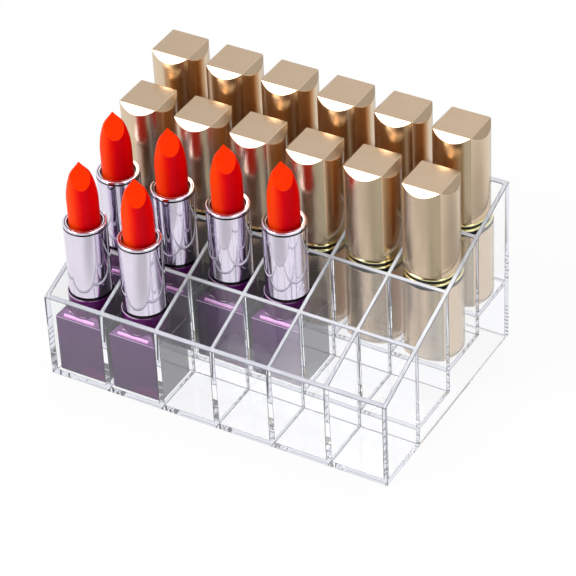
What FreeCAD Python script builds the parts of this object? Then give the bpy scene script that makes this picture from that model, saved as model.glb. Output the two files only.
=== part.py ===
import FreeCAD, Part
import math
import os

# A clear stepped tray of square cells, stocked with open and capped lipsticks.
# Sizes are in millimetres. X runs along the tray, Y to its back and Z up from the table.

# Tray: a moulding with sloping dividers over a stepped floor
column_count = 6
row_count = 4
column_pitch = 24.0
row_pitch = 24.25
wall = 2.0  # at the foot of a cell
wall_lean_share = 0.005  # how far a cell wall leans back for each unit of its height
floor_thickness = 1.6
second_floor_height = 9.0
third_floor_height = 18.8
fourth_floor_height = 27.6
front_height = 36.6
back_height = 72.9
tray_corner_radius = 0.8

# What stands in the cells, as columns of each row from the front
open_cells = [(0, 0), (1, 0), (0, 1), (1, 1), (2, 1), (3, 1)]
capped_cells = [(column, row) for row in (2, 3) for column in range(column_count)]

# Open lipstick: outer pieces
block_play = 0.85  # from the block to the cell wall
block_height = 25.7
shoulder_inset = 2.6
shoulder_rise = 2.6
neck_inset = 1.1  # from the block's side to the neck
neck_height = 9.6  # above the block's straight sides
neck_wall = 0.4
collar_rise = 0.3  # the black collar stands this far out of the neck
sleeve_gap = 0.2  # between collar and sleeve
sleeve_height = 30.7
sleeve_wall = 0.6
sleeve_lip = 1.0  # how far the rolled rim reaches in
sleeve_lip_thickness = 0.5
sleeve_rim_chamfer = 0.3

# Open lipstick: twist-up mechanism inside the sleeve
press_gap = 0.05  # between pieces that are pressed together
running_gap = 0.05  # between pieces that slide or turn
end_gap = 0.3  # between pieces that meet end to end
collar_wall = 0.65
cam_play = 0.2  # from the collar to the cam tube
cam_wall = 0.6
tube_wall = 0.5
tube_foot_thickness = 1.2
cup_wall = 0.45
cup_floor = 0.9
cup_height = 10.5
pin_radius = 0.9
pin_height = 1.6  # of a pin's axis above the cup's foot
pin_slot_gap = 0.1
cam_turns = 1.0  # for the whole travel

# Open lipstick: bullet
bullet_exposed = 24.9  # tip above the sleeve's rim when raised
tip_recess = 0.4  # tip below the rim when lowered
nose_length = 15.6
nose_bands = 3
tip_offset = 1.3  # from the bullet's axis to its tip
facet_drop = 8.2
facet_azimuth = 30.0  # degrees that the slanted face is turned from the front

# Capped lipstick
gold_play = 0.6  # from the bulge to the cell wall
bulge = 2.5
gold_base_height = 32.5
groove_height = 1.1
groove_depth = 0.6
band_height = 1.3
ring_count = 2
cap_gap = 0.3
cap_height = 38.2
cap_bevel_drop = 2.8
cap_top_thickness = 5.0
neck_play = 0.3  # from the cap's bore to the stick inside it
cap_wall = 1.6  # at the middle of a side
stick_height = 27.0

overrun = 2.0  # cutting bodies pass a face by this

# Tray values that follow
tray_length = column_count * column_pitch + wall
tray_depth = row_count * row_pitch + wall
floor_heights = [floor_thickness, second_floor_height, third_floor_height, fourth_floor_height]
cell_inside = min(column_pitch, row_pitch) - wall

# Radii of the open lipstick, from the outside in
block_half = cell_inside / 2 - block_play
neck_radius = block_half - neck_inset
neck_bore_radius = neck_radius - neck_wall
collar_radius = neck_bore_radius - press_gap
collar_bore_radius = collar_radius - collar_wall
cam_radius = collar_bore_radius - cam_play
cam_bore_radius = cam_radius - cam_wall
tube_radius = cam_bore_radius - running_gap
tube_bore_radius = tube_radius - tube_wall
cup_radius = tube_bore_radius - running_gap
cup_bore_radius = cup_radius - cup_wall
bullet_radius = cup_bore_radius - press_gap
sleeve_bore_radius = cam_radius + press_gap
sleeve_radius = sleeve_bore_radius + sleeve_wall
pin_end_radius = (cam_bore_radius + 3 * cam_radius) / 4

# Heights of the open lipstick, above its foot
neck_top = block_height + neck_height
collar_top = neck_top + collar_rise
sleeve_foot = collar_top + sleeve_gap
rim_height = sleeve_foot + sleeve_height
tube_top = rim_height - sleeve_lip_thickness - end_gap
cup_foot = tube_top - end_gap - cup_height
bullet_foot = cup_foot + cup_floor
bullet_top = rim_height + bullet_exposed
travel = bullet_exposed + tip_recess
tube_foot = cup_foot - travel - end_gap - tube_foot_thickness
cam_foot = tube_foot + tube_foot_thickness + end_gap
upper_pin_height = cup_foot + pin_height
lower_pin_height = upper_pin_height - travel
slot_end = pin_radius + pin_slot_gap  # from a pin's axis to the end of its slot
cam_pitch = travel / cam_turns

# Sizes of the capped lipstick
gold_across_half = cell_inside / 2 - gold_play
gold_corner_half = gold_across_half - bulge
cap_bore_radius = gold_across_half - cap_wall
stick_radius = cap_bore_radius - neck_play
stick_foot = gold_base_height + ring_count * (groove_height + band_height)
cap_foot = stick_foot + cap_gap


def cell_place(column, row):
    x = (column + 0.5 - column_count / 2) * column_pitch
    y = (row + 0.5 - row_count / 2) * row_pitch
    return FreeCAD.Vector(x, y, floor_heights[row])


def cylinder(radius, low, high):
    return Part.makeCylinder(radius, high - low, FreeCAD.Vector(0, 0, low))


def tube(outer_radius, inner_radius, low, high):
    return cylinder(outer_radius, low, high).cut(cylinder(inner_radius, low - overrun, high + overrun))


def frustum(low_halves, high_halves, low, high):
    # A block on a rectangle that widens or narrows evenly from its foot to its top
    low_x, low_y = low_halves
    high_x, high_y = high_halves
    block = Part.makeWedge(-low_x, low, -low_y, -high_y, -high_x, low_x, high, low_y, high_y, high_x)
    block.rotate(FreeCAD.Vector(0, 0, 0), FreeCAD.Vector(1, 0, 0), 90)
    return block


def pocket(column, row):
    # A cell, wider towards its mouth
    floor = floor_heights[row]
    mouth = back_height + overrun
    lean = wall_lean_share * (mouth - floor)
    half_x = (column_pitch - wall) / 2
    half_y = (row_pitch - wall) / 2
    space = frustum((half_x, half_y), (half_x + lean, half_y + lean), 0, mouth - floor)
    space.translate(cell_place(column, row))
    return space


def hollow(row):
    # The open space below a raised row and the rows behind it
    front = (row - row_count / 2) * row_pitch + wall / 2
    back = tray_depth / 2 - wall
    length = tray_length - 2 * wall
    height = floor_heights[row] - floor_thickness + overrun
    return Part.makeBox(length, back - front, height, FreeCAD.Vector(-length / 2, front, -overrun))


def make_tray():
    half_depth = tray_depth / 2
    side = [(-half_depth, 0), (half_depth, 0), (half_depth, back_height), (-half_depth, front_height)]
    points = [FreeCAD.Vector(-tray_length / 2, y, z) for y, z in side]
    block = Part.Face(Part.makePolygon(points + points[:1])).extrude(FreeCAD.Vector(tray_length, 0, 0))
    upright = [edge for edge in block.Edges if abs(edge.tangentAt(edge.FirstParameter).z) > 0.99]
    block = block.makeFillet(tray_corner_radius, upright)
    cells = [pocket(column, row) for column in range(column_count) for row in range(row_count)]
    hollows = [hollow(row) for row in range(1, row_count)]
    return block.cut(cells + hollows)


def make_purple_base():
    block = Part.makeBox(2 * block_half, 2 * block_half, block_height)
    block.translate(FreeCAD.Vector(-block_half, -block_half, 0))
    top_half = block_half - shoulder_inset
    shoulder_top = block_height + shoulder_rise
    shoulder = frustum((block_half, block_half), (top_half, top_half), block_height, shoulder_top)
    neck = cylinder(neck_radius, tube_foot, neck_top)
    bore = cylinder(neck_bore_radius, tube_foot, neck_top + overrun)
    return block.fuse([shoulder, neck]).cut(bore).removeSplitter()


def make_inner_tube():
    # Black collar, foot and slotted tube in one moulding
    foot = cylinder(collar_radius, tube_foot, cam_foot - end_gap)
    collar = tube(collar_radius, collar_bore_radius, tube_foot, collar_top)
    guide = tube(tube_radius, tube_bore_radius, tube_foot, tube_top)
    body = foot.fuse([collar, guide])
    width = 2 * (pin_radius + pin_slot_gap)
    low = lower_pin_height - slot_end
    high = upper_pin_height + slot_end
    reach = cam_bore_radius
    slot = Part.makeBox(2 * reach, width, high - low, FreeCAD.Vector(-reach, -width / 2, low))
    return body.cut(slot).removeSplitter()


def helical_cutter(start_angle):
    # A slot that winds round the cam tube, with its top end at the raised pin
    mean_radius = (cam_radius + cam_bore_radius) / 2
    lead = math.atan2(cam_pitch, 2 * math.pi * mean_radius)
    end_turn = slot_end / (2 * math.pi * mean_radius)
    turns = cam_turns + 2 * end_turn
    spine = Part.makeHelix(cam_pitch, turns * cam_pitch, mean_radius)
    half_height = (pin_radius + pin_slot_gap) / math.cos(lead)
    depth = cam_wall / 2 + pin_slot_gap
    corners = [(-depth, -half_height), (depth, -half_height), (depth, half_height), (-depth, half_height)]
    points = [FreeCAD.Vector(mean_radius + x, 0, z) for x, z in corners]
    sweep = Part.BRepOffsetAPI.MakePipeShell(Part.Wire(spine.Edges))
    sweep.setBiNormalMode(FreeCAD.Vector(0, 0, 1))
    sweep.add(Part.makePolygon(points + points[:1]))
    sweep.build()
    sweep.makeSolid()
    cutter = sweep.shape()
    cutter.translate(FreeCAD.Vector(0, 0, lower_pin_height - end_turn * cam_pitch))
    angle = start_angle - 360 * (cam_turns + end_turn)
    cutter.rotate(FreeCAD.Vector(0, 0, 0), FreeCAD.Vector(0, 0, 1), angle)
    return cutter


def make_cam_tube():
    shell = tube(cam_radius, cam_bore_radius, cam_foot, tube_top)
    return shell.cut([helical_cutter(0), helical_cutter(180)])


def make_sleeve_shell():
    # Half section: the wall and a rim turned in over the tubes, bevelled outside and inside
    lip_radius = sleeve_bore_radius - sleeve_lip
    section = [
        (sleeve_bore_radius, sleeve_foot),
        (sleeve_radius, sleeve_foot),
        (sleeve_radius, rim_height - sleeve_rim_chamfer),
        (sleeve_radius - sleeve_rim_chamfer, rim_height),
        (lip_radius, rim_height),
        (lip_radius, rim_height - sleeve_lip_thickness),
        (sleeve_bore_radius, rim_height - sleeve_lip_thickness),
    ]
    points = [FreeCAD.Vector(x, 0, z) for x, z in section]
    face = Part.Face(Part.makePolygon(points + points[:1]))
    return face.revolve(FreeCAD.Vector(0, 0, 0), FreeCAD.Vector(0, 0, 1), 360)


def make_chrome_sleeve():
    # The chromed shell and the cam tube that is pressed into it
    return Part.makeCompound([make_sleeve_shell(), make_cam_tube()])


def make_carrier():
    cup = cylinder(cup_radius, cup_foot, cup_foot + cup_height)
    space = cylinder(cup_bore_radius, bullet_foot, cup_foot + cup_height + overrun)
    start = FreeCAD.Vector(-pin_end_radius, 0, upper_pin_height)
    pins = Part.makeCylinder(pin_radius, 2 * pin_end_radius, start, FreeCAD.Vector(1, 0, 0))
    return cup.fuse(pins).cut(space)


def make_bullet():
    # A round bar whose nose narrows along an arc, in conical bands, cut off at a slant through its tip
    nose_foot = bullet_top - nose_length
    narrowing = bullet_radius - tip_offset
    nose_radius = (nose_length ** 2 + narrowing ** 2) / (2 * narrowing)
    turn = math.asin(nose_length / nose_radius)
    section = [FreeCAD.Vector(0, 0, bullet_top), FreeCAD.Vector(0, 0, bullet_foot)]
    section.append(FreeCAD.Vector(bullet_radius, 0, bullet_foot))
    for step in range(nose_bands + 1):
        angle = turn * step / nose_bands
        x = bullet_radius - nose_radius * (1 - math.cos(angle))
        section.append(FreeCAD.Vector(x, 0, nose_foot + nose_radius * math.sin(angle)))
    axis = FreeCAD.Vector(0, 0, 1)
    bar = Part.Face(Part.makePolygon(section + section[:1])).revolve(FreeCAD.Vector(0, 0, 0), axis, 360)
    slope = math.atan2(facet_drop, tip_offset + bullet_radius)
    reach = 2 * (nose_length + bullet_radius)
    waste = Part.makeBox(reach, reach, reach, FreeCAD.Vector(-reach / 2, -reach, 0))
    waste.rotate(FreeCAD.Vector(0, 0, 0), FreeCAD.Vector(1, 0, 0), math.degrees(slope))
    waste.translate(FreeCAD.Vector(0, tip_offset, bullet_top))
    bullet = bar.cut(waste)
    bullet.rotate(FreeCAD.Vector(0, 0, 0), axis, facet_azimuth)
    return bullet


def bulged_prism(inset, low, high):
    # A square whose four sides bulge out as arcs
    half = gold_corner_half - inset
    far = half + bulge
    corners = [(-half, -half), (half, -half), (half, half), (-half, half)]
    middles = [(0, -far), (far, 0), (0, far), (-far, 0)]
    edges = []
    for index in range(4):
        start = FreeCAD.Vector(*corners[index], low)
        middle = FreeCAD.Vector(*middles[index], low)
        end = FreeCAD.Vector(*corners[(index + 1) % 4], low)
        edges.append(Part.Arc(start, middle, end).toShape())
    return Part.Face(Part.Wire(edges)).extrude(FreeCAD.Vector(0, 0, high - low))


def make_gold_base():
    # Body, black grooves and gold bands, and the stick that the cap covers
    pieces = [bulged_prism(0, 0, gold_base_height)]
    level = gold_base_height
    for _ in range(ring_count):
        pieces.append(bulged_prism(groove_depth, level, level + groove_height))
        level += groove_height
        pieces.append(bulged_prism(0, level, level + band_height))
        level += band_height
    pieces.append(cylinder(stick_radius, stick_foot, stick_foot + stick_height))
    return pieces[0].fuse(pieces[1:]).removeSplitter()


def make_gold_cap():
    # Bulged walls under a flat square top, with a bevelled crescent on each side
    top = cap_foot + cap_height
    spread = bulge * cap_height / cap_bevel_drop
    low_half = gold_corner_half + spread
    roof = frustum((low_half, low_half), (gold_corner_half, gold_corner_half), cap_foot, top)
    bore = cylinder(cap_bore_radius, cap_foot - overrun, top - cap_top_thickness)
    return bulged_prism(0, cap_foot, top).common(roof).cut(bore)


def save(name, shape):
    shape.exportStep("parts/" + name + ".step")
    print(name, "volume", round(shape.Volume, 1), "solids", len(shape.Solids), "valid", shape.isValid())


def save_at(name, shape, place):
    copy = shape.copy()
    copy.translate(place)
    save(name, copy)


def main():
    os.makedirs("parts", exist_ok=True)
    save("tray", make_tray())
    open_pieces = {
        "purple_base": make_purple_base(),
        "inner_tube": make_inner_tube(),
        "chrome_sleeve": make_chrome_sleeve(),
        "carrier": make_carrier(),
        "bullet": make_bullet(),
    }
    for number, (column, row) in enumerate(open_cells, 1):
        for name, shape in open_pieces.items():
            save_at(name + "_" + str(number), shape, cell_place(column, row))
    capped_pieces = {"gold_base": make_gold_base(), "gold_cap": make_gold_cap()}
    for number, (column, row) in enumerate(capped_cells, 1):
        for name, shape in capped_pieces.items():
            save_at(name + "_" + str(number).zfill(2), shape, cell_place(column, row))
    print("travel of the bullet", round(travel, 2), "for each turn of the sleeve", round(cam_pitch, 3))


main()
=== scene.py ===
import math
import bmesh
import bpy
from mathutils import Matrix, Vector


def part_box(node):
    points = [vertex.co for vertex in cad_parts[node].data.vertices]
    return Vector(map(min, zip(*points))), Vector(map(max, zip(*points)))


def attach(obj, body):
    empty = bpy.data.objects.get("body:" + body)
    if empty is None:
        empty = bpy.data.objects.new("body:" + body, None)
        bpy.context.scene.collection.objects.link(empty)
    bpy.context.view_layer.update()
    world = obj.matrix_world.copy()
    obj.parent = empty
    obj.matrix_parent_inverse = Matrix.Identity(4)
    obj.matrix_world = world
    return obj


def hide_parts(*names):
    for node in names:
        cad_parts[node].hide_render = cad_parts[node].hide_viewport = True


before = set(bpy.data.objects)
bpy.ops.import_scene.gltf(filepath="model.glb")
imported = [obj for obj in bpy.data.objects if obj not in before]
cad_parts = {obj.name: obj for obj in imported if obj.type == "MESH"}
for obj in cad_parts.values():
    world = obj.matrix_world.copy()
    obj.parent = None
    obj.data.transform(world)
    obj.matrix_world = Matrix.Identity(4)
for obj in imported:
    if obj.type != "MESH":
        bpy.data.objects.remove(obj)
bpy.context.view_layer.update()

# A clear stepped organizer stocked with lipsticks: six open in purple and chrome, twelve capped in gold.
# Everything is in metres, in the frame's own axes: X along the tray, Y to its back, Z up from the table.

mm = 0.001
quarterTurn = math.pi / 2


# Places read from the frame

def placeOf(node):
    # The middle of a node's foot
    low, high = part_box(node)
    return Vector(((low.x + high.x) / 2, (low.y + high.y) / 2, low.z))


def heightsOf(node, foot):
    low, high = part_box(node)
    return low.z - foot, high.z - foot


def halfWidthOf(node):
    low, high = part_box(node)
    return (high.x - low.x) / 2


def lipstickGroup(body, base, labels):
    # The lipsticks of one kind: how their bodies' names start and end, and where they stand
    places = [placeOf(base + label) for label in labels]
    return {"body": body, "labels": labels, "places": places, "foot": places[0].z}


openOnes = lipstickGroup("open_lipstick_", "purple_base_", [str(number) for number in range(1, 7)])
cappedOnes = lipstickGroup("capped_lipstick_", "gold_base_", [f"{number:02d}" for number in range(1, 13)])


# Node trees written as expressions

class Wire:
    # An output of a node; arithmetic on it adds Math nodes
    def __init__(self, maker, socket):
        self.maker = maker
        self.socket = socket

    def math(self, operation, *others):
        return self.maker.add("ShaderNodeMath", {"operation": operation}, [self, *others])

    def other(self, name):
        return Wire(self.maker, self.socket.node.outputs[name])

    def __add__(self, value):
        return self.math("ADD", value)

    def __sub__(self, value):
        return self.math("SUBTRACT", value)

    def __rsub__(self, value):
        return self.maker.add("ShaderNodeMath", {"operation": "SUBTRACT"}, [value, self])

    def __mul__(self, value):
        return self.math("MULTIPLY", value)

    def __truediv__(self, value):
        return self.math("DIVIDE", value)

    def __rtruediv__(self, value):
        return self.maker.add("ShaderNodeMath", {"operation": "DIVIDE"}, [value, self])

    def __neg__(self):
        return self.math("MULTIPLY", -1.0)

    __radd__ = __add__
    __rmul__ = __mul__


class Maker:
    # Adds nodes to one tree; a list given to a single socket joins all its wires there
    def __init__(self, tree):
        self.tree = tree

    def add(self, kind, settings=None, inputs=None, output=0):
        node = self.tree.nodes.new(kind)
        for name, value in (settings or {}).items():
            setattr(node, name, value)
        pairs = enumerate(inputs) if isinstance(inputs, list) else (inputs or {}).items()
        for key, value in pairs:
            self.feed(node.inputs[key], value)
        return Wire(self, node.outputs[output]) if len(node.outputs) else node

    def feed(self, socket, value):
        if isinstance(value, Wire):
            self.tree.links.new(value.socket, socket)
        elif isinstance(value, list):
            for wire in value:
                self.tree.links.new(wire.socket, socket)
        else:
            socket.default_value = value

    def split(self, vector):
        return self.add("ShaderNodeSeparateXYZ", {}, [vector])

    def join(self, x, y, z):
        return self.add("ShaderNodeCombineXYZ", {}, [x, y, z])

    def stretch(self, vector, scale):
        return self.add("ShaderNodeVectorMath", {"operation": "MULTIPLY"}, [vector, scale])

    def dot(self, vector, direction):
        return self.add("ShaderNodeVectorMath", {"operation": "DOT_PRODUCT"}, [vector, direction], "Value")

    def between(self, value, low, high):
        # Rises smoothly from 0 at low to 1 at high
        return self.add("ShaderNodeMapRange", {"interpolation_type": "SMOOTHSTEP"}, [value, low, high])

    def colours(self, factor, first, second, blend="MIX"):
        settings = {"data_type": "RGBA", "blend_type": blend}
        return self.add("ShaderNodeMix", settings, {0: factor, 6: first, 7: second}, 2)

    def noise(self, vector, scale, detail):
        if isinstance(scale, tuple):  # a scale for each axis
            vector = self.stretch(vector, scale)
            scale = 1.0
        return self.add("ShaderNodeTexNoise", {}, {"Vector": vector, "Scale": scale, "Detail": detail})

    def bump(self, height, strength, depth):
        return self.add("ShaderNodeBump", {}, {"Strength": strength, "Distance": depth, "Height": height})

    def placeHere(self):
        return self.add("ShaderNodeTexCoord", {}, {}, "Object")

    def placeInPiece(self):
        # The piece's own axes, which rememberPlace keeps with its points
        return self.add("ShaderNodeAttribute", {"attribute_name": "local"}, {}, "Vector")

    def ray(self, kind):
        return self.add("ShaderNodeLightPath", {}, {}, kind)

    def surface(self, inputs):
        return self.add("ShaderNodeBsdfPrincipled", {}, inputs)

    def light(self, colour, strength):
        return self.add("ShaderNodeEmission", {}, {"Color": colour, "Strength": strength})

    def mixed(self, factor, first, second):
        return self.add("ShaderNodeMixShader", {}, [factor, first, second])


def newMaterial(name):
    material = bpy.data.materials.new(name)
    material.use_nodes = True
    material.node_tree.nodes.clear()
    return material, Maker(material.node_tree)


def finishMaterial(material, maker, shader):
    maker.add("ShaderNodeOutputMaterial", {}, {"Surface": shader})
    return material


def rgb(red, green, blue):
    return (red, green, blue, 1.0)


white = rgb(1.0, 1.0, 1.0)
black = rgb(0.0, 0.0, 0.0)


def seenByEye(m):
    # 1 for rays that show a thing itself, mirrored or through the clear plastic
    straight = m.ray("Is Camera Ray")
    mirrored = straight.math("MAXIMUM", straight.other("Is Glossy Ray"))
    return mirrored.math("MAXIMUM", straight.other("Is Transmission Ray"))


def seenInMirror(m):
    # 1 for rays that a polished surface mirrors; rough refraction counts as glossy too and is left out
    glossy = m.ray("Is Glossy Ray")
    return glossy * (1 - glossy.other("Is Transmission Ray"))


def mirroredGlow(m, colour):
    # A glow that shows only where a polished surface mirrors the piece
    return m.colours(seenInMirror(m), black, colour)


# Finishes. A noise is given by its scale and detail, a mask by where it starts and ends, and a bump by its
# strength and depth.

clearLook = {
    "tint": rgb(0.985, 0.988, 0.996),
    "shadowTint": rgb(0.93, 0.935, 0.95),
    "index": 1.44,
    "sheen": 0.012,
    "trappedLight": rgb(0.66, 0.675, 0.745),
    "trappedDepth": 9.0,
    "roughness": 0.006,
    "scuffRoughness": 0.03,
    "scuff": ((260.0, 260.0, 700.0), 4.0),
    "scuffMask": (0.55, 0.8),
    "ripple": (90.0, 2.0),
    "rippleBump": (0.25, 0.01 * mm),
}
paintedFrostLook = {"spread": 0.2, "roughness": 0.35, "frontToBack": (-48.0 * mm, 8.0 * mm)}
# Painted light and shade on the tray: rims painted darker in front and light at the back, rounded edges
# painted dark grey
paintedFrostKinds = {
    "clearPlastic": {"share": 0.0},
    "clearRim": {"share": 0.72, "front": rgb(0.53, 0.53, 0.60), "back": rgb(0.96, 0.96, 0.98)},
    "clearEdge": {"share": 0.74, "front": rgb(0.11, 0.12, 0.15), "back": rgb(0.11, 0.12, 0.15)},
}


def makeClearPlastic(name):
    # Clear moulded plastic; its sloped rims and rounded edges look a little frosted: the rims get painted
    # light, darker at the front and lighter at the back, and the rounded edges get dark grey painted shade
    # lines
    material, m = newMaterial(name)
    look = clearLook
    rimPaint = paintedFrostKinds[name]
    place = m.placeHere()
    scuff = m.noise(place, *look["scuff"])
    ripple = m.noise(place, *look["ripple"])
    solid = m.surface({
        "Base Color": look["tint"],
        "Roughness": m.between(scuff, *look["scuffMask"]) * look["scuffRoughness"] + look["roughness"],
        "IOR": look["index"],
        "Transmission Weight": 1.0,
        "Normal": m.bump(ripple, *look["rippleBump"]),
        "Emission Color": white,  # a faint sheen in place of the white room that the cards hide
        "Emission Strength": look["sheen"],
    })
    # the painted frost is mixed into the clear plastic
    if rimPaint["share"]:
        behind = m.between(m.split(place).other("Y"), *paintedFrostLook["frontToBack"])
        paintedFrost = m.surface({
            "Base Color": m.colours(behind, rimPaint["front"], rimPaint["back"]),
            "Roughness": paintedFrostLook["roughness"],
        })
        least = rimPaint["share"] - paintedFrostLook["spread"] / 2
        solid = m.mixed(scuff * paintedFrostLook["spread"] + least, solid, paintedFrost)
    ray = m.ray("Is Shadow Ray")
    trapped = ray.other("Ray Depth").math("GREATER_THAN", look["trappedDepth"])
    inner = m.mixed(trapped, solid, m.light(look["trappedLight"], 1.0))  # caught light comes out pale
    window = m.add("ShaderNodeBsdfTransparent", {}, {"Color": look["shadowTint"]})
    return finishMaterial(material, m, m.mixed(ray, inner, window))


satinLook = {
    "colour": rgb(0.69, 0.54, 0.385),
    "deep": rgb(0.66, 0.51, 0.36),
    "paintedSideShade": rgb(0.62, 0.64, 0.60),
    "paintedShadeTurn": (math.radians(4.0), math.radians(30.0)),
    "paintedTopShade": rgb(0.75, 0.73, 0.715),
    "grain": ((1400.0, 1400.0, 14.0), 3.0),
    "grainBump": (0.08, 0.01 * mm),
    "cloud": (120.0, 2.0),
    "mask": (0.3, 0.7),
    "roughness": 0.24,
    "maskRoughness": 0.03,
    "mirroredLow": rgb(0.026, 0.003, 0.0),
    "mirroredHigh": rgb(0.085, 0.034, 0.006),
    "mirroredHeights": (44.0 * mm, 70.0 * mm),
}


def makeSatinGold(name, sided):
    material, m = newMaterial(name)
    look = satinLook
    local = m.placeInPiece()
    grain = m.noise(local, *look["grain"])
    mask = m.between((grain + m.noise(local, *look["cloud"])) / 2, *look["mask"])
    colour = m.colours(mask, look["deep"], look["colour"])
    if sided:
        # painted shade band on the sides of the gold
        shadedSides = m.colours(1.0, colour, look["paintedSideShade"], "MULTIPLY")
        colour = m.colours(sideMask(m, local), colour, shadedSides)
    else:
        # painted shade: the top is a shaded copy of the gold, painted darker all over
        colour = m.colours(1.0, colour, look["paintedTopShade"], "MULTIPLY")
    height = m.between(m.split(local).other("Z"), *look["mirroredHeights"])
    paintedCaughtGlow = m.colours(height, look["mirroredLow"], look["mirroredHigh"])  # a painted glow, seen only in mirrors, for light caught between the caps; brighter higher up
    shader = m.surface({
        "Base Color": colour,
        "Metallic": 1.0,
        "Roughness": mask * look["maskRoughness"] + look["roughness"],
        "Normal": m.bump(grain, *look["grainBump"]),
        "Emission Color": mirroredGlow(m, paintedCaughtGlow),
        "Emission Strength": 1.0,
    })
    return finishMaterial(material, m, shader)


def sideMask(m, local):
    # Painted shade: each side of the gold is painted darker towards its right, a band that stands for a
    # dark reflection
    spot = m.split(local)
    turn = spot.math("ARCTAN2", -spot.other("Y"))  # from the middle of the front round to the right
    aside = (turn + quarterTurn / 2).math("FLOORED_MODULO", quarterTurn) - quarterTurn / 2
    return m.between(aside, *satinLook["paintedShadeTurn"])


polishLooks = {
    "polishedGold": {
        "wearAndHighlight": rgb(0.82, 0.75, 0.38),
        "bright": rgb(0.87, 0.81, 0.46),
        "wipe": (400.0, 3.0),
        "roughness": 0.06,
    },
    "lilacChrome": {
        "wearAndHighlight": rgb(0.72, 0.665, 0.78),
        "bright": rgb(0.79, 0.73, 0.84),
        "wipe": ((180.0, 180.0, 60.0), 4.0),
        "roughness": 0.03,
    },
}
wipeMarks = {"mask": (0.3, 0.7), "roughness": 0.05}


def makePolished(name):
    # Polished metal with faint marks of wiping
    material, m = newMaterial(name)
    look = polishLooks[name]
    wipe = m.noise(m.placeInPiece(), *look["wipe"])
    shader = m.surface({
        "Base Color": m.colours(m.between(wipe, *wipeMarks["mask"]), look["wearAndHighlight"], look["bright"]),
        "Metallic": 1.0,
        "Roughness": wipe * wipeMarks["roughness"] + look["roughness"],
    })
    return finishMaterial(material, m, shader)


purpleLook = {
    "body": rgb(0.175, 0.026, 0.245),
    "foot": rgb(0.100, 0.014, 0.150),
    "footToBody": (0.0, 36.0 * mm),
    "rosy": rgb(0.230, 0.018, 0.220),
    "rosyMask": (0.50, 0.68),
    "cloud": ((60.0, 60.0, 110.0), 3.0),
    "cloudRise": 12.0 * mm,
    "side": rgb(0.024, 0.003, 0.038),
    "frontDepth": (0.2 * mm, 0.5 * mm),
    "shoulder": rgb(0.018, 0.002, 0.026),
    "paintedLitShoulderFront": rgb(0.190, 0.024, 0.225),
    "shoulderBlend": 0.2 * mm,
    "neck": rgb(0.165, 0.006, 0.175),
    "paintedNeckShade": rgb(0.018, 0.001, 0.022),
    "paintedNeckLightFacing": (0.42 / 9.0 / mm, -0.91 / 9.0 / mm, 0.0),
    "neckMask": (0.15, 0.85),
    "neckFoot": 28.4 * mm,
    "line": rgb(0.80, 0.54, 0.84),
    "lineLow": 25.35 * mm,
    "lineHigh": 25.6 * mm,
    "dashMiddle": -1.2 * mm,
    "dashNear": 1.5 * mm,
    "dashFar": 4.0 * mm,
    "dashLow": 27.75 * mm,
    "dashHigh": 27.95 * mm,
    "bar": rgb(1.0, 0.50, 0.98),
    "barFoot": rgb(0.55, 0.16, 0.50),
    "barHalf": 6.85 * mm,
    "barBlend": 0.3 * mm,
    "barLow": 26.0 * mm,
    "barMiddle": 26.35 * mm,
    "barHigh": 26.95 * mm,
    "rimLow": 34.75 * mm,
    "rimMask": (0.45, 0.55),
    "blend": 0.1 * mm,
    "roughness": 0.11,
    "cloudRoughness": 0.05,
    "specular": 0.14,
    "paintedGlow": 0.3,
}


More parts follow.
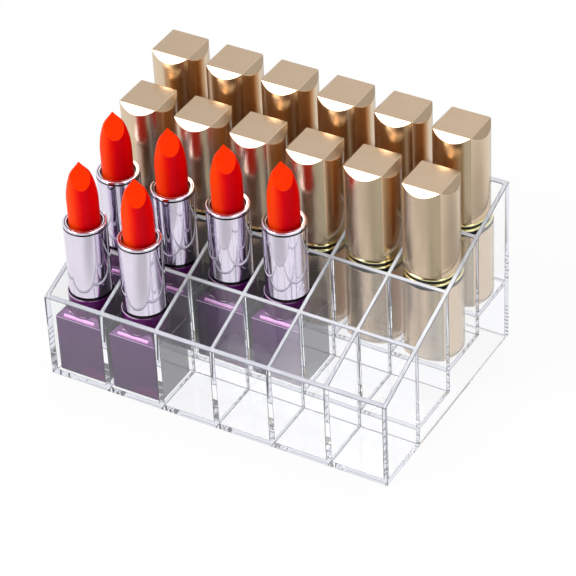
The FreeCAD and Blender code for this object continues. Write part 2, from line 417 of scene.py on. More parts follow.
def makePurple():
    # Purple plastic with painted light and shade: a front painted lit and sides painted dark, a shoulder
    # and neck painted lit in front, and a painted highlight bar, line and dashes on the front of the
    # shoulder that also glow
    material, m = newMaterial("purplePlastic")
    look = purpleLook
    blend = look["blend"]
    local = m.placeInPiece()
    cloud = m.noise(local, *look["cloud"])
    x = m.split(local)
    y, height = x.other("Y"), x.other("Z")

    def above(level):
        return m.between(height, level, level + blend)

    def band(low, high):
        return above(look[low]) * (1 - above(look[high]))

    depth = m.between(height + cloud * look["cloudRise"], *look["footToBody"])
    colour = m.colours(depth, look["foot"], look["body"])
    colour = m.colours(m.between(cloud, *look["rosyMask"]), colour, look["rosy"])
    half = halfWidthOf("purple_base_1")
    near, far = look["frontDepth"]
    behind = m.between(y, near - half, far - half)
    colour = m.colours(behind, colour, look["side"])  # painted shade: the sides are painted dark, the front alone as lit through

    aside = x.math("ABSOLUTE")
    # painted light and shade: the shoulder's front slope is painted lit, its other slopes dark
    ahead = m.between(-y - aside, -look["shoulderBlend"], look["shoulderBlend"])
    shoulder = m.colours(ahead, look["shoulder"], look["paintedLitShoulderFront"])
    colour = m.colours(above(look["lineHigh"]), colour, shoulder)
    # painted highlight: a thin light line round the top edge of the block
    line = band("lineLow", "lineHigh")
    colour = m.colours(line, colour, look["line"])

    # painted highlight: short light dashes on the front of the shoulder's top edge
    reach = (x - look["dashMiddle"]).math("ABSOLUTE")
    begun = m.between(reach, look["dashNear"], look["dashNear"] + blend)
    ended = m.between(reach, look["dashFar"], look["dashFar"] - blend)
    paintedHighlightDash = begun * ended * ahead * band("dashLow", "dashHigh")
    colour = m.colours(paintedHighlightDash, colour, look["line"])

    # painted light and shade: the neck is painted lit where it faces the front, dark at its sides
    paintedNeckLight = m.between(m.dot(local, look["paintedNeckLightFacing"]), *look["neckMask"])
    neck = m.colours(paintedNeckLight, look["paintedNeckShade"], look["neck"])
    colour = m.colours(above(look["neckFoot"]), colour, neck)
    # painted highlight: patches of light colour on the neck's rim
    wearAndHighlight = above(look["rimLow"]) * m.between(cloud, *look["rimMask"])
    colour = m.colours(wearAndHighlight, colour, look["line"])

    # painted highlight: a pink bar across the front of the shoulder, which also glows
    inside = m.between(aside, look["barHalf"], look["barHalf"] - look["barBlend"])
    inside = inside * y.math("LESS_THAN", 0.0)  # on the front only
    bar = m.colours(above(look["barMiddle"]), look["barFoot"], look["bar"])
    shown = inside * band("barLow", "barHigh")
    # painted glow on the highlight line at the front and on the dashes
    paintedGlow = m.colours(line * (1 - behind), black, look["line"])
    paintedGlow = m.colours(paintedHighlightDash, paintedGlow, look["line"])
    shader = m.surface({
        "Base Color": m.colours(shown, colour, bar),
        "Roughness": cloud * look["cloudRoughness"] + look["roughness"],
        "Specular IOR Level": look["specular"],
        "Emission Color": m.colours(shown, paintedGlow, bar),
        "Emission Strength": look["paintedGlow"],
    })
    return finishMaterial(material, m, shader)


waxLooks = {
    "redWax": {
        "colour": rgb(0.80, 0.001, 0.003),
        "warm": rgb(0.85, 0.003, 0.003),
        "roughness": 0.38,
        "paintedLightShare": 1.0,
    },
    # the cut facet: a lit copy of the wax, painted more orange for the light that falls on it from above
    "litCutWax": {
        "colour": rgb(0.90, 0.030, 0.0005),
        "warm": rgb(0.95, 0.040, 0.0006),
        "roughness": 0.32,
        "paintedLightShare": 0.0,
    },
}
waxGrainAndGlow = {
    "cloud": (160.0, 3.0),
    "cloudMask": (0.35, 0.65),
    "cloudRoughness": 0.08,
    "fine": (1800.0, 2.0),
    "fineBump": (0.1, 0.02 * mm),
    "specular": 0.05,
    # painted reflection: a red glow that only mirrors show
    "mirrored": rgb(0.24, 0.014, 0.002),
}
waxLeft = (-0.85 / 6.0 / mm, -0.527 / 6.0 / mm, 0.0)
waxPaintedLight = [
    {"colour": rgb(0.74, 0.0, 0.006), "mask": (0.15, -0.1)},  # painted shade: crimson past the middle
    {"colour": rgb(0.95, 0.050, 0.002), "mask": (0.05, 0.75)},  # painted light: orange to the left
    {"colour": rgb(0.95, 0.001, 0.001), "mask": (-0.4, -0.85)},  # painted light: bright red at the far right
]


def makeWax(name):
    material, m = newMaterial(name)
    look = waxLooks[name]
    local = m.placeInPiece()
    cloud = m.noise(local, *waxGrainAndGlow["cloud"])
    fine = m.noise(local, *waxGrainAndGlow["fine"])
    colour = m.colours(m.between(cloud, *waxGrainAndGlow["cloudMask"]), look["colour"], look["warm"])
    left = m.dot(local, waxLeft)
    # painted light and shade round the wax: orange where the light falls on the left, crimson past the
    # middle
    for tone in waxPaintedLight:
        colour = m.colours(m.between(left, *tone["mask"]) * look["paintedLightShare"], colour, tone["colour"])
    shader = m.surface({
        "Base Color": colour,
        "Roughness": cloud * waxGrainAndGlow["cloudRoughness"] + look["roughness"],
        "Specular IOR Level": waxGrainAndGlow["specular"],
        "Normal": m.bump(fine, *waxGrainAndGlow["fineBump"]),
        "Emission Color": mirroredGlow(m, waxGrainAndGlow["mirrored"]),
        "Emission Strength": 1.0,
    })
    return finishMaterial(material, m, shader)


blackLook = {
    "colour": rgb(0.004, 0.003, 0.005),
    "dusty": rgb(0.010, 0.008, 0.011),
    "cloud": (300.0, 3.0),
    "roughness": 0.14,
    "cloudRoughness": 0.1,
    "specular": 0.3,
}


def makeBlackPlastic():
    material, m = newMaterial("blackPlastic")
    look = blackLook
    cloud = m.noise(m.placeHere(), *look["cloud"])
    shader = m.surface({
        "Base Color": m.colours(cloud, look["colour"], look["dusty"]),
        "Roughness": cloud * look["cloudRoughness"] + look["roughness"],
        "Specular IOR Level": look["specular"],
    })
    return finishMaterial(material, m, shader)


paperLook = {
    "colour": rgb(0.86, 0.86, 0.865),
    "light": rgb(0.88, 0.88, 0.885),
    "fibre": (900.0, 2.0),
    "roughness": 0.9,
    "specular": 0.1,
    "ownLight": 0.93,
    "patchMask": (1.2, 0.3),
}
greyPatches = [
    {"place": (0.016, -0.104, 0.0), "wide": 0.075, "deep": 0.040, "share": 0.38},
    {"place": (0.145, 0.055, 0.0), "wide": 0.085, "deep": 0.080, "share": 0.5},
]


def makePaper():
    # White paper; polished surfaces mirror it with painted grey patches before and beside the object, which
    # only their reflections show
    material, m = newMaterial("paperWhite")
    look = paperLook
    place = m.placeHere()
    paper = m.surface({
        "Base Color": m.colours(m.noise(place, *look["fibre"]), look["colour"], look["light"]),
        "Roughness": look["roughness"],
        "Specular IOR Level": look["specular"],
    })
    grey = 0.0
    for patch in greyPatches:
        offset = m.add("ShaderNodeVectorMath", {"operation": "SUBTRACT"}, [place, patch["place"]])
        shares = m.stretch(offset, (1 / patch["wide"], 1 / patch["deep"], 0.0))
        reach = m.add("ShaderNodeVectorMath", {"operation": "LENGTH"}, [shares], "Value")
        grey = m.between(reach, *look["patchMask"]) * patch["share"] + grey
    shine = m.light(m.colours(grey * seenInMirror(m), white, black), 1.0)
    return finishMaterial(material, m, m.mixed(seenByEye(m) * look["ownLight"], paper, shine))


finishes = {
    "clear": makeClearPlastic("clearPlastic"),
    "rim": makeClearPlastic("clearRim"),
    "edge": makeClearPlastic("clearEdge"),
    "satin": makeSatinGold("satinGold", True),
    "top": makeSatinGold("satinTopShaded", False),
    "polished": makePolished("polishedGold"),
    "chrome": makePolished("lilacChrome"),
    "purple": makePurple(),
    "wax": makeWax("redWax"),
    "cut": makeWax("litCutWax"),
    "black": makeBlackPlastic(),
    "paper": makePaper(),
}
print("finishes made:", len(finishes))


# Meshes. Every loop of points starts at its front left corner and goes round to the right. A piece's rounds
# are given by their width, the angle of the edges that get them, and their segments.

loopStart = -135.0
arcSteps = 6


def anglesBetween(start, end, steps):
    # In radians, from one angle to another in degrees, with both ends
    return [math.radians(start + (end - start) * step / steps) for step in range(steps + 1)]


def circleLoop(radius, height, steps):
    angles = [math.radians(loopStart + 360 * step / steps) for step in range(steps)]
    return [Vector((radius * math.cos(a), radius * math.sin(a), height)) for a in angles]


def arcPoints(radius, height, size, start, end):
    # Points of a section's round corner
    angles = anglesBetween(start, end, arcSteps)
    return [(radius + size * math.cos(a), height + size * math.sin(a)) for a in angles]


def bulgedLoop(half, bulge, height, steps):
    # A square whose sides bulge out as arcs
    radius = (half ** 2 + bulge ** 2) / (2 * bulge)
    reach = math.asin(half / radius)
    points = []
    for side in range(4):
        turn = Matrix.Rotation(math.radians(90 * side), 3, "Z")
        for step in range(steps):
            angle = reach * (2 * step / steps - 1)
            out = half + bulge - radius * (1 - math.cos(angle))
            points.append(turn @ Vector((radius * math.sin(angle), -out, height)))
    return points


def joinRings(bm, pairs):
    for lower, upper in pairs:
        for index in range(len(lower)):
            after = (index + 1) % len(lower)
            bm.faces.new([lower[index], lower[after], upper[after], upper[index]])


def lofted(loops, closed=False):
    # Faces between loops of equally many points; open ends are closed by one face each
    bm = bmesh.new()
    rings = [[bm.verts.new(point) for point in loop] for loop in loops]
    pairs = list(zip(rings, rings[1:]))
    if closed:
        pairs.append((rings[-1], rings[0]))
    else:
        bm.faces.new(list(reversed(rings[0])))
        bm.faces.new(rings[-1])
    joinRings(bm, pairs)
    bmesh.ops.recalc_face_normals(bm, faces=bm.faces)
    return bm


def turned(profile, steps, closed=False):
    return lofted([circleLoop(radius, height, steps) for radius, height in profile], closed)


def meshObject(name, bm, materials):
    mesh = bpy.data.meshes.new(name)
    bm.to_mesh(mesh)
    bm.free()
    for material in materials:
        mesh.materials.append(material)
    piece = bpy.data.objects.new(name, mesh)
    bpy.context.scene.collection.objects.link(piece)
    return piece


def softenEdges(piece, width, angle, segments, finish=-1):
    # Rounds the edges of a piece and turns the result into its mesh; a finish is a slot for the rounds
    bevel = piece.modifiers.new("softEdges", "BEVEL")
    bevel.width = width
    bevel.segments = segments
    bevel.limit_method = "ANGLE"
    bevel.angle_limit = math.radians(angle)
    bevel.harden_normals = True
    bevel.miter_outer = "MITER_ARC"
    bevel.use_clamp_overlap = finish < 0  # the thin faces of the tray would clamp its rounds to nothing
    bevel.material = finish
    piece.data.shade_smooth()
    bakeModifiers(piece)


def bakeModifiers(piece):
    graph = bpy.context.evaluated_depsgraph_get()
    mesh = bpy.data.meshes.new_from_object(piece.evaluated_get(graph), depsgraph=graph)
    piece.modifiers.clear()
    old = piece.data
    piece.data = mesh
    bpy.data.meshes.remove(old)
    mesh.name = piece.name


def rememberPlace(mesh):
    # Keeps each point's place in the piece's own axes for the finishes to read
    values = [value for vertex in mesh.vertices for value in vertex.co]
    mesh.attributes.new("local", "FLOAT_VECTOR", "POINT").data.foreach_set("vector", values)


def settle(piece, place, body, replaced=()):
    rememberPlace(piece.data)
    piece.data.transform(Matrix.Translation(place))
    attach(piece, body)
    if replaced:
        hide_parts(*replaced)


def placeCopies(model, title, group, part="", node=""):
    # One copy of a model piece for each lipstick of a group, and then the model itself goes
    mesh = model.data
    for label, place in zip(group["labels"], group["places"]):
        piece = bpy.data.objects.new(title + label, mesh.copy())
        piece.data.name = title + label
        bpy.context.scene.collection.objects.link(piece)
        settle(piece, place, group["body"] + label + part, (node + label,) if node else ())
    bpy.data.objects.remove(model)
    bpy.data.meshes.remove(mesh)


# Geometry node trees

def newTree(name, sizes):
    tree = bpy.data.node_groups.new(name, "GeometryNodeTree")
    tree.interface.new_socket("Geometry", in_out="OUTPUT", socket_type="NodeSocketGeometry")
    for size in sizes:
        tree.interface.new_socket(size, in_out="INPUT", socket_type="NodeSocketFloat")
    tree.interface.new_socket("Finish", in_out="INPUT", socket_type="NodeSocketMaterial")
    maker = Maker(tree)
    return tree, maker, maker.add("NodeGroupInput")


def closeTree(maker, given, geometry):
    whole = maker.add("GeometryNodeRealizeInstances", {}, [geometry])
    named = maker.add("GeometryNodeSetMaterial", {}, {"Geometry": whole, "Material": given.other("Finish")})
    maker.add("NodeGroupOutput", {}, [named])


def grown(name, tree, sizes, finish):
    # An object whose mesh a node tree makes from the given sizes
    piece = bpy.data.objects.new(name, bpy.data.meshes.new(name))
    bpy.context.scene.collection.objects.link(piece)
    modifier = piece.modifiers.new("grow", "NODES")
    modifier.node_group = tree
    for item in tree.interface.items_tree:
        if item.in_out == "INPUT":
            modifier[item.identifier] = finish if item.name == "Finish" else sizes[item.name]
    bakeModifiers(piece)
    piece.data.materials.clear()
    piece.data.materials.append(finish)
    return piece


# Camera, lamps and floor

cameraView = {
    "place": (0.46640, -0.75266, 0.70917),
    "turn": (52.5394, 2.4071, 29.6879),
    "lens": 184.007,
    "sensor": 36.0,
    "near": 0.05,
    "far": 20.0,
}


def makeCamera():
    data = bpy.data.cameras.new("camera")
    data.lens = cameraView["lens"]
    data.sensor_width = cameraView["sensor"]
    data.clip_start = cameraView["near"]
    data.clip_end = cameraView["far"]
    camera = bpy.data.objects.new("camera", data)
    camera.location = cameraView["place"]
    camera.rotation_euler = [math.radians(angle) for angle in cameraView["turn"]]
    bpy.context.scene.collection.objects.link(camera)
    bpy.context.scene.camera = camera


softBoxes = {
    "keyBox": {"place": (-0.55, -0.55, 0.75), "size": 0.55, "watts": 8.4},
    "fillBox": {"place": (0.75, -0.30, 0.45), "size": 0.50, "watts": 1.8},
    "topBox": {"place": (0.05, 0.35, 0.95), "size": 0.60, "watts": 4.6},
}
lampAim = Vector((0.0, 0.0, 0.05))


def makeLamps():
    for name, box in softBoxes.items():
        data = bpy.data.lights.new(name, "AREA")
        data.shape = "SQUARE"
        data.size = box["size"]
        data.energy = box["watts"]
        lamp = bpy.data.objects.new(name, data)
        lamp.location = box["place"]
        aim = lampAim - Vector(box["place"])
        lamp.rotation_euler = aim.to_track_quat("-Z", "Y").to_euler()
        bpy.context.scene.collection.objects.link(lamp)


room = {"level": 0.26, "floorHalf": 2.5, "floorDrop": 0.3 * mm}


def makeRoom():
    # A white room that lights the object at a lower level than it is seen at
    world = bpy.data.worlds.new("room")
    world.use_nodes = True
    world.node_tree.nodes.clear()
    m = Maker(world.node_tree)
    level = seenByEye(m) * (1.0 - room["level"]) + room["level"]
    sky = m.add("ShaderNodeBackground", {}, {"Color": white, "Strength": level})
    m.add("ShaderNodeOutputWorld", {}, {"Surface": sky})
    bpy.context.scene.world = world
    bm = bmesh.new()
    bmesh.ops.create_grid(bm, x_segments=2, y_segments=2, size=room["floorHalf"])
    bmesh.ops.translate(bm, verts=bm.verts, vec=(0.0, 0.0, -room["floorDrop"]))
    meshObject("floor", bm, [finishes["paper"]])


darkFlags = {
    "frontFlag": {"left": -12.0, "right": 42.0, "low": 2.0, "high": 70.0, "level": 0.0},
    "backFlag": {"left": 118.0, "right": 152.0, "low": 4.0, "high": 36.0, "level": 0.74},
}
flagReach = 0.6
flagSteps = 12


def makeFlags():
    # Darker cards round the object that only polished surfaces mirror
    for name, card in darkFlags.items():
        bm = bmesh.new()
        rows = []
        for rise in anglesBetween(card["low"], card["high"], flagSteps):
            row = []
            for turn in anglesBetween(card["left"], card["right"], flagSteps):
                level = math.cos(rise)
                point = Vector((math.sin(turn) * level, -math.cos(turn) * level, math.sin(rise)))
                row.append(bm.verts.new(point * flagReach))
            rows.append(row)
        for lower, upper in zip(rows, rows[1:]):
            for side in range(flagSteps):
                bm.faces.new([lower[side], lower[side + 1], upper[side + 1], upper[side]])
        finish, m = newMaterial(name)
        flag = meshObject(name, bm, [finishMaterial(finish, m, m.light(white, card["level"]))])
        for kind in ("camera", "diffuse", "transmission", "shadow", "volume_scatter"):
            setattr(flag, "visible_" + kind, False)


bounces = {"clear": 64, "diffuse": 3}  # light crosses many clear walls


def setRender():
    scene = bpy.context.scene
    scene.view_settings.view_transform = "Standard"
    scene.cycles.max_bounces = bounces["clear"]
    scene.cycles.transmission_bounces = bounces["clear"]
    scene.cycles.transparent_max_bounces = bounces["clear"]
    scene.cycles.glossy_bounces = bounces["clear"]
    scene.cycles.diffuse_bounces = bounces["diffuse"]
    scene.cycles.caustics_reflective = False
    scene.cycles.caustics_refractive = False


makeCamera()
makeLamps()
makeRoom()
makeFlags()
setRender()
print("camera, lamps and room made")


# Tray

trayShape = {
    "Front Height": 36.6 * mm,
    "Floor Thickness": 1.6 * mm,
    "Lean Share": 0.005,
    "Overrun": 2.0 * mm,
}
trayFinish = {
    "mergeGap": 0.001 * mm,
    "flatAngle": math.radians(0.1),
    "rimSlope": (0.85, 0.99),
    "rounds": (0.26 * mm, 40.0, 2),
}


def traySizes():
    low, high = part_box("tray")
    first = placeOf("purple_base_1")
    behind = placeOf("purple_base_3")
    return {
        "Length": high.x - low.x,
        "Depth": high.y - low.y,
        "Back Height": high.z,
        "Column Pitch": placeOf("purple_base_2").x - first.x,
        "Row Pitch": behind.y - first.y,
        "Floor 1": first.z,
        "Floor 2": behind.z,
        "Floor 3": placeOf("gold_base_01").z,
        "Floor 4": placeOf("gold_base_07").z,
        **trayShape,
    }


def trayTree(sizes):
    # A block with a sloping top, cut by leaning pockets on stepped floors and by hollows underneath
    columns, rows = 6, 4
    tree, m, given = newTree("steppedTray", sizes)
    size = {name: given.other(name) for name in sizes}
    length, depth, back = size["Length"], size["Depth"], size["Back Height"]
    front, overrun = size["Front Height"], size["Overrun"]
    acrossPitch, backPitch = size["Column Pitch"], size["Row Pitch"]
    wall = length - acrossPitch * columns
    floors = [size["Floor " + str(row + 1)] for row in range(rows)]

    def brick(x, y, z, middle, lift):
        cube = m.add("GeometryNodeMeshCube", {}, {"Size": m.join(x, y, z)})
        place = m.join(0.0, middle, lift)
        return m.add("GeometryNodeTransform", {}, {"Geometry": cube, "Translation": place})

    def moved(geometry, x, y, z):
        return m.add("GeometryNodeSetPosition", {}, {"Geometry": geometry, "Position": m.join(x, y, z)})

    x = m.split(m.add("GeometryNodeInputPosition"))
    y, z = x.other("Y"), x.other("Z")
    rim = front + (back - front) * (y / depth + 0.5)
    block = moved(brick(length, depth, back, 0.0, back / 2), x, y, z / back * rim)

    wide, deep = acrossPitch - wall, backPitch - wall
    tall = back + overrun - floors[0]
    widening = z * size["Lean Share"] * 2
    pocket = brick(wide, deep, tall, 0.0, tall / 2)
    pocket = moved(pocket, x * (widening / wide + 1), y * (widening / deep + 1), z)
    grid = m.add("GeometryNodeMeshGrid", {}, {
        "Size X": acrossPitch * (columns - 1),
        "Size Y": backPitch * (rows - 1),
        "Vertices X": columns,
        "Vertices Y": rows,
    })
    row = (y / backPitch + (rows - 1) / 2).math("ROUND")
    level = floors[0]
    for number in range(1, rows):
        reached = row.math("GREATER_THAN", number - 0.5)
        level = level + (floors[number] - floors[number - 1]) * reached
    grid = moved(grid, x, y, level)
    pockets = m.add("GeometryNodeInstanceOnPoints", {}, {"Points": grid, "Instance": pocket})
    cutters = [m.add("GeometryNodeRealizeInstances", {}, [pockets])]
    for number in range(1, rows):
        near = backPitch * (number - rows / 2) + wall / 2
        far = depth / 2 - wall
        height = floors[number] - size["Floor Thickness"] + overrun
        cutters.append(brick(length - wall * 2, far - near, height, (far + near) / 2, height / 2 - overrun))
    joined = m.add("GeometryNodeJoinGeometry", {}, {"Geometry": list(reversed(cutters))})
    settings = {"operation": "DIFFERENCE", "solver": "EXACT"}
    inputs = {"Mesh 1": block, "Mesh 2": joined, "Self Intersection": True}
    closeTree(m, given, m.add("GeometryNodeMeshBoolean", settings, inputs))
    return tree


def makeTray():
    sizes = traySizes()
    tray = grown("clearTray", trayTree(sizes), sizes, finishes["clear"])
    tray.data.materials.append(finishes["rim"])
    tray.data.materials.append(finishes["edge"])
    least, most = trayFinish["rimSlope"]
    bm = bmesh.new()
    bm.from_mesh(tray.data)
    bmesh.ops.remove_doubles(bm, verts=bm.verts, dist=trayFinish["mergeGap"])
    bmesh.ops.dissolve_limit(bm, angle_limit=trayFinish["flatAngle"], verts=bm.verts, edges=bm.edges)
    for face in bm.faces:
        face.material_index = 1 if least < face.normal.z < most else 0  # the sloped rims, which take the painted frost
    bm.to_mesh(tray.data)
    bm.free()
    print("tray mesh before its edges are rounded:", len(tray.data.polygons), "faces")
    # The rounds take the third slot: dark grey painted shade lines along the edges
    softenEdges(tray, *trayFinish["rounds"], finish=2)
    settle(tray, Vector((0.0, 0.0, 0.0)), "tray", ("tray",))


makeTray()
print("tray made")


# Open lipsticks

standGap = 0.05 * mm  # air under a foot, so that the clear floor below it mirrors as a real one does
blockShape = {"height": 25.7 * mm, "inset": 2.6 * mm, "rise": 2.6 * mm, "rounds": (0.45 * mm, 20.0, 3)}
neckShape = {
    "inset": 1.1 * mm,
    "wall": 0.4 * mm,
    "depth": 3.0 * mm,
    "drop": 0.2 * mm,
    "steps": 72,
    "rounds": (0.18 * mm, 30.0, 2),
}


def makePurpleBases():
    half = halfWidthOf("purple_base_1")
    shape = blockShape
    shoulder = shape["height"] + shape["rise"]
    levels = [(half, standGap), (half, shape["height"]), (half - shape["inset"], shoulder)]
    square = [(-1, -1), (1, -1), (1, 1), (-1, 1)]
    loops = [[Vector((x * wide, y * wide, height)) for x, y in square] for wide, height in levels]
    block = meshObject("blockModel", lofted(loops), [finishes["purple"]])
    softenEdges(block, *shape["rounds"])
    placeCopies(block, "purpleBlock_", openOnes, node="purple_base_")

    shape = neckShape
    top = heightsOf("purple_base_1", openOnes["foot"])[1] - shape["drop"]
    outer = half - shape["inset"]
    inner = outer - shape["wall"]
    low = shoulder - shape["depth"]
    profile = [(inner, low), (outer, low), (outer, top), (inner, top)]
    neck = meshObject("neckModel", turned(profile, shape["steps"], closed=True), [finishes["purple"]])
    softenEdges(neck, *shape["rounds"])
    placeCopies(neck, "purpleNeck_", openOnes)


sleeveShape = {
    "wall": 0.6 * mm,
    "lip": 1.0 * mm,
    "lipThickness": 0.5 * mm,
    "lipRound": 0.34 * mm,
    "lineInset": 0.85 * mm,
    "lineRound": 0.16 * mm,
    "grooveDrop": 1.3 * mm,
    "grooveRound": 0.36 * mm,
    "footGap": 0.65 * mm,
    "footRound": 0.3 * mm,
    "steps": 96,
    "rounds": (0.05 * mm, 50.0, 2),
}


def makeSleeves():
    shape = sleeveShape
    high = heightsOf("chrome_sleeve_1", openOnes["foot"])[1]
    start = heightsOf("purple_base_1", openOnes["foot"])[1] + shape["footGap"]
    outer = halfWidthOf("chrome_sleeve_1")
    bore = outer - shape["wall"]
    lip = bore - shape["lip"]
    under = high - shape["lipThickness"]
    groove = high - shape["grooveDrop"]
    line = outer - shape["lineInset"]
    bead, corner = shape["lipRound"], shape["footRound"]
    profile = [(bore, start)]
    profile += arcPoints(outer - corner, start + corner, corner, -90.0, 0.0)
    profile += arcPoints(outer, groove, shape["grooveRound"], -90.0, -270.0)
    profile += arcPoints(outer - bead, high - bead, bead, 0.0, 90.0)
    profile += arcPoints(line, high, shape["lineRound"], 0.0, -180.0)
    profile += arcPoints(lip + bead / 2, high - bead / 2, bead / 2, 90.0, 180.0)
    profile += [(lip, under), (bore, under)]
    shell = turned(profile, shape["steps"], closed=True)
    sleeve = meshObject("sleeveModel", shell, [finishes["chrome"], finishes["black"]])
    # Painted shade: the groove round the sleeve and the line round its rim are painted black
    for face in sleeve.data.polygons:
        deep = outer - face.center.xy.length
        inGroove = abs(face.center.z - groove) < shape["grooveRound"] > deep
        inLine = math.hypot(deep - shape["lineInset"], face.center.z - high) < shape["lineRound"]
        face.material_index = 1 if inGroove or inLine else 0
    softenEdges(sleeve, *shape["rounds"])
    placeCopies(sleeve, "chromeShell_", openOnes, "_sleeve", "chrome_sleeve_")


camTube = {"mergeGap": 0.0005 * mm, "wallShare": 1.05, "sharpAngle": math.radians(30.0)}


def makeCamTubes():
    # The slotted cam tube inside each sleeve is the inner one of the node's two solids
    for label, place in zip(openOnes["labels"], openOnes["places"]):
        bm = bmesh.new()
        bm.from_mesh(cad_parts["chrome_sleeve_" + label].data)
        bmesh.ops.remove_doubles(bm, verts=bm.verts, dist=camTube["mergeGap"])
        bmesh.ops.translate(bm, verts=bm.verts, vec=-place)
        kept = set()
        waiting = [min(bm.verts, key=lambda vertex: vertex.co.z)]
        while waiting:
            vertex = waiting.pop()
            if vertex not in kept:
                kept.add(vertex)
                waiting.extend(edge.other_vert(vertex) for edge in vertex.link_edges)
        bmesh.ops.delete(bm, geom=[vertex for vertex in bm.verts if vertex not in kept], context="VERTS")
        widest = max(vertex.co.xy.length for vertex in bm.verts)
        bore = halfWidthOf("chrome_sleeve_" + label) - sleeveShape["wall"] * camTube["wallShare"]
        if widest > bore:
            print("cam tube", label, "is wider than the sleeve's bore:", widest)
        tube = meshObject("camTube_" + label, bm, [finishes["black"]])
        tube.data.set_sharp_from_angle(angle=camTube["sharpAngle"])
        settle(tube, place, openOnes["body"] + label + "_sleeve")


bulletShape = {
    "noseLength": 15.6 * mm,
    "noseSteps": 34,
    "tipOffset": 2.2 * mm,
    "facetDrop": 9.1 * mm,
    "facetTurn": 38.0,
    "facetFlatness": 0.9999,
    "pinchDepth": 4.0 * mm,
    "pinchShare": 0.3,
    "pinchPower": 1.6,
    "mergeGap": 0.002 * mm,
    "steps": 64,
    "rounds": (0.1 * mm, 22.0, 3),
}


def bulletMesh(radius, low, high):
    shape = bulletShape
    narrowing = radius - shape["tipOffset"]
    bend = (shape["noseLength"] ** 2 + narrowing ** 2) / (2 * narrowing)
    reach = math.asin(shape["noseLength"] / bend)
    profile = [(radius, low)]
    for step in range(shape["noseSteps"] + 1):
        angle = reach * step / shape["noseSteps"]
        height = high - shape["noseLength"] + bend * math.sin(angle)
        profile.append((radius - bend * (1 - math.cos(angle)), height))
    bm = turned(profile, shape["steps"])
    slope = math.atan2(shape["facetDrop"], shape["tipOffset"] + radius)
    turn = Matrix.Rotation(math.radians(shape["facetTurn"]), 3, "Z")
    for vertex in bm.verts:
        rise = 1 - (high - vertex.co.z) / shape["pinchDepth"]
        if rise > 0.0:  # the tip is drawn in to a point, seen from the facet's side
            spot = turn.inverted() @ vertex.co
            spot.x *= 1 - (1 - shape["pinchShare"]) * rise ** shape["pinchPower"]
            vertex.co = turn @ spot
    normal = turn @ Vector((0.0, -math.sin(slope), math.cos(slope)))
    point = turn @ Vector((0.0, shape["tipOffset"], high))
    whole = list(bm.verts) + list(bm.edges) + list(bm.faces)
    bmesh.ops.bisect_plane(bm, geom=whole, plane_co=point, plane_no=normal, clear_outer=True)
    bmesh.ops.remove_doubles(bm, verts=bm.verts, dist=shape["mergeGap"])
    bmesh.ops.holes_fill(bm, edges=[edge for edge in bm.edges if edge.is_boundary])
    bmesh.ops.recalc_face_normals(bm, faces=bm.faces)
    for face in bm.faces:
        # the facet takes the lit copy of the wax
        face.material_index = 1 if face.normal.dot(normal) > shape["facetFlatness"] else 0
    return bm


def makeBullets():
    low, high = heightsOf("bullet_1", openOnes["foot"])
    bm = bulletMesh(halfWidthOf("bullet_1"), low, high)
    bullet = meshObject("bulletModel", bm, [finishes["wax"], finishes["cut"]])
    softenEdges(bullet, *bulletShape["rounds"])
    placeCopies(bullet, "waxBullet_", openOnes, "_bullet", "bullet_")


def finishInnerPieces():
    # The solids that work inside the sleeves are shown as they are
    for label in openOnes["labels"]:
        for kind in ("inner_tube_", "carrier_"):
            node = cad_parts[kind + label]
            node.data.materials.clear()
            node.data.materials.append(finishes["black"])


makePurpleBases()
makeSleeves()
makeCamTubes()
makeBullets()
finishInnerPieces()
print("open lipsticks made:", len(openOnes["labels"]))


# Capped lipsticks

goldShape = {
    "bulge": 2.5 * mm,
    "sideSteps": 22,
    "bodyHeight": 32.5 * mm,
    "groove": 1.1 * mm,
    "band": 1.3 * mm,
    "depth": 0.6 * mm,
    "bodyRounds": (0.16 * mm, 25.0, 2),
    "bevelDrop": 2.8 * mm,
    "capWall": 1.6 * mm,
    "roof": 5.0 * mm,
    "topSlope": 0.3,
    "capRounds": (0.16 * mm, 14.0, 2),
}


def makeGoldCaps():
    # A bored cap of bulged square section, with a square top and a sloped crescent along each side
    shape = goldShape
    low, high = heightsOf("gold_cap_01", cappedOnes["foot"])
    far = halfWidthOf("gold_cap_01")
    half = far - shape["bulge"]
    steps = shape["sideSteps"]
    bore = far - shape["capWall"]
    count = 4 * steps
    loops = [
        circleLoop(bore, high - shape["roof"], count),
        circleLoop(bore, low, count),
        bulgedLoop(half, shape["bulge"], low, steps),
        bulgedLoop(half, shape["bulge"], low, steps),
    ]
    slope = shape["bevelDrop"] / shape["bulge"]
    for point in loops[-1]:
        out = max(abs(point.x), abs(point.y)) - half
        point.z = high - out * slope
    bm = bmesh.new()
    rings = [[bm.verts.new(point) for point in loop] for loop in loops]
    bm.faces.new(rings[0])
    joinRings(bm, zip(rings, rings[1:]))
    edge = rings[-1]
    bm.faces.new([edge[side * steps] for side in range(4)])
    for side in range(4):
        bm.faces.new([edge[(side * steps + step) % count] for step in range(steps + 1)])
    bmesh.ops.recalc_face_normals(bm, faces=bm.faces)
    for face in bm.faces:
        # the top and its crescents take the painted shaded copy of the gold
        face.material_index = 1 if face.normal.z > shape["topSlope"] else 0
    cap = meshObject("capModel", bm, [finishes["satin"], finishes["top"]])
    softenEdges(cap, *shape["capRounds"])
    placeCopies(cap, "goldCap_", cappedOnes, "_cap", "gold_cap_")


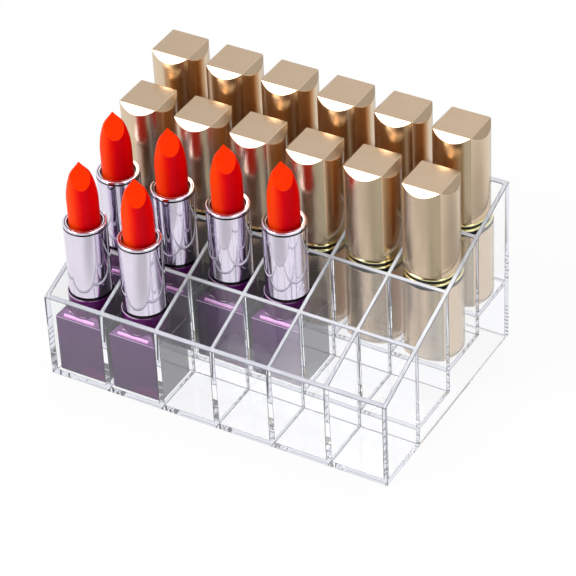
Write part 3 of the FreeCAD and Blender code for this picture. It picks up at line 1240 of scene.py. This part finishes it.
def makeGoldBases(top):
    # Satin foot with a recess above it that holds the rings; the recess is painted black as shade between
    # the rings
    shape = goldShape
    half = halfWidthOf("gold_cap_01") - shape["bulge"]
    levels = [
        (0.0, standGap),
        (0.0, shape["bodyHeight"]),
        (shape["depth"], shape["bodyHeight"]),
        (shape["depth"], top),
    ]
    loops = [bulgedLoop(half - inset, shape["bulge"], level, shape["sideSteps"]) for inset, level in levels]
    body = meshObject("bodyModel", lofted(loops), [finishes["satin"], finishes["black"]])
    for face in body.data.polygons:
        face.material_index = 1 if face.center.z > shape["bodyHeight"] - standGap else 0
    softenEdges(body, *shape["bodyRounds"])
    placeCopies(body, "goldBody_", cappedOnes, node="gold_base_")


stickShape = {
    "height": 27.0 * mm,
    "overlap": 0.5 * mm,
    "recess": 7.0 * mm,
    "wall": 0.8 * mm,
    "play": 0.3 * mm,
    "steps": 72,
    "rounds": (0.2 * mm, 40.0, 2),
}


def makeSticks(low):
    shape = stickShape
    top = low + shape["height"]
    radius = halfWidthOf("gold_cap_01") - goldShape["capWall"] - shape["play"]
    inner = radius - shape["wall"]
    foot = low - shape["overlap"]
    profile = [(radius, foot), (radius, top), (inner, top), (inner, top - shape["recess"])]
    stick = meshObject("stickModel", turned(profile, shape["steps"]), [finishes["polished"]])
    softenEdges(stick, *shape["rounds"])
    placeCopies(stick, "goldStick_", cappedOnes)


ringShape = {"radius": 0.62 * mm, "count": 2.0, "pathSteps": 96, "sectionSteps": 14}


def ringTree(sizes):
    # Rounded rings that follow the bulged outline, one above the other
    tree, m, given = newTree("ringStack", sizes)
    size = {name: given.other(name) for name in sizes}
    half = size["Half"] - size["Ring Radius"]
    bulge = size["Bulge"]
    circle = {"Resolution": ringShape["pathSteps"], "Radius": 1.0}
    section = {"Resolution": ringShape["sectionSteps"], "Radius": size["Ring Radius"]}
    x = m.split(m.add("GeometryNodeInputPosition"))
    y = x.other("Y")
    angle = y.math("ARCTAN2", x)
    aside = (angle + quarterTurn / 2).math("FLOORED_MODULO", quarterTurn) - quarterTurn / 2
    radius = (half * half + bulge * bulge) / (bulge * 2)
    centre = half + bulge - radius
    sine = aside.math("SINE")
    reach = centre * aside.math("COSINE") + (radius * radius - centre * centre * sine * sine).math("SQRT")
    path = m.add("GeometryNodeSetPosition", {}, {
        "Geometry": m.add("GeometryNodeCurvePrimitiveCircle", {}, circle),
        "Position": m.join(reach * x, reach * y, size["Low"]),
    })
    ring = m.add("GeometryNodeCurveToMesh", {}, {
        "Curve": path,
        "Profile Curve": m.add("GeometryNodeCurvePrimitiveCircle", {}, section),
    })
    step = m.join(0.0, 0.0, size["Spacing"])
    line = m.add("GeometryNodeMeshLine", {}, {"Count": size["Count"], "Offset": step})
    rows = m.add("GeometryNodeInstanceOnPoints", {}, {"Points": line, "Instance": ring})
    closeTree(m, given, m.add("GeometryNodeSetShadeSmooth", {}, [rows]))
    return tree


def makeRings():
    shape = goldShape
    sizes = {
        "Half": halfWidthOf("gold_cap_01") - shape["bulge"],
        "Bulge": shape["bulge"],
        "Low": shape["bodyHeight"] + shape["groove"] + shape["band"] / 2,
        "Spacing": shape["groove"] + shape["band"],
        "Ring Radius": ringShape["radius"],
        "Count": ringShape["count"],
    }
    rings = grown("ringModel", ringTree(sizes), sizes, finishes["polished"])
    placeCopies(rings, "goldRings_", cappedOnes)


recessTop = goldShape["bodyHeight"] + (goldShape["groove"] + goldShape["band"]) * ringShape["count"]
makeGoldCaps()
makeGoldBases(recessTop)
makeSticks(recessTop)
makeRings()
print("capped lipsticks made:", len(cappedOnes["labels"]))
